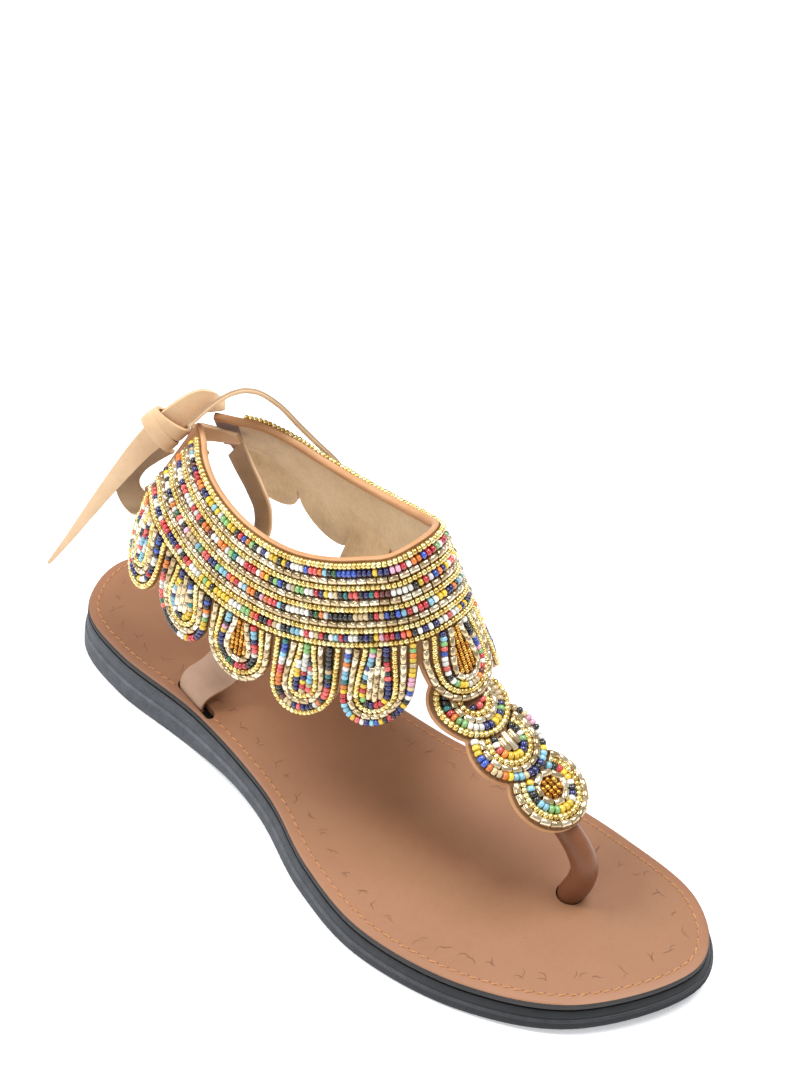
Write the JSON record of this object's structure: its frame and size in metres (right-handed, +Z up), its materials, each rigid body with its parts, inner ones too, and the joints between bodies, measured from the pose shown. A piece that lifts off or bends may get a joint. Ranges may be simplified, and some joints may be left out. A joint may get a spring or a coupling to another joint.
{
  "type": "beaded thong sandal",
  "caption": "Flat thong sandal for the right foot: beaded ankle collar with hanging beaded petals, beaded toe strap on a rolled post, leather tie behind the heel.",
  "frame": {"origin": "on the floor under the middle of the sole's bounding box", "axes": "+X from heel to toe, +Y to the inner side of the foot, +Z up"},
  "size_m": [0.2676, 0.0944, 0.129],
  "materials": {
    "outsole_rubber": "matt, speckled",
    "midsole_rubber": "matt",
    "insole_leather": "smooth, satin",
    "upper_leather": "smooth outside, suede inside",
    "post_leather": "rolled, satin",
    "tie_leather": "matt",
    "gold_beads": "metal lined gold",
    "colour_beads": "opaque mixed colours",
    "silver_beads": "metal lined silver"
  },
  "bodies": {
    "root": {"outsole": "outsole_rubber", "midsole": "midsole_rubber", "insole": "insole_leather", "upper": "upper_leather", "toe_post": "post_leather", "collar_beads": "gold_beads", "petal_beads_01": "gold_beads", "petal_beads_02": "colour_beads", "petal_beads_03": "silver_beads", "petal_beads_04": "gold_beads", "petal_beads_05": "colour_beads", "petal_beads_06": "silver_beads", "petal_beads_07": "gold_beads", "petal_beads_08": "colour_beads", "petal_beads_09": "silver_beads", "petal_beads_10": "gold_beads", "petal_beads_11": "colour_beads", "medallion_beads_1": "gold_beads", "medallion_beads_2": "colour_beads", "medallion_beads_3": "silver_beads", "tie_bar": "tie_leather", "tie_tail": "tie_leather", "tie_end": "tie_leather", "tie_loop_inner": "tie_leather", "tie_loop_outer": "tie_leather", "tie_knot": "tie_leather"}
  },
  "joints": []
}
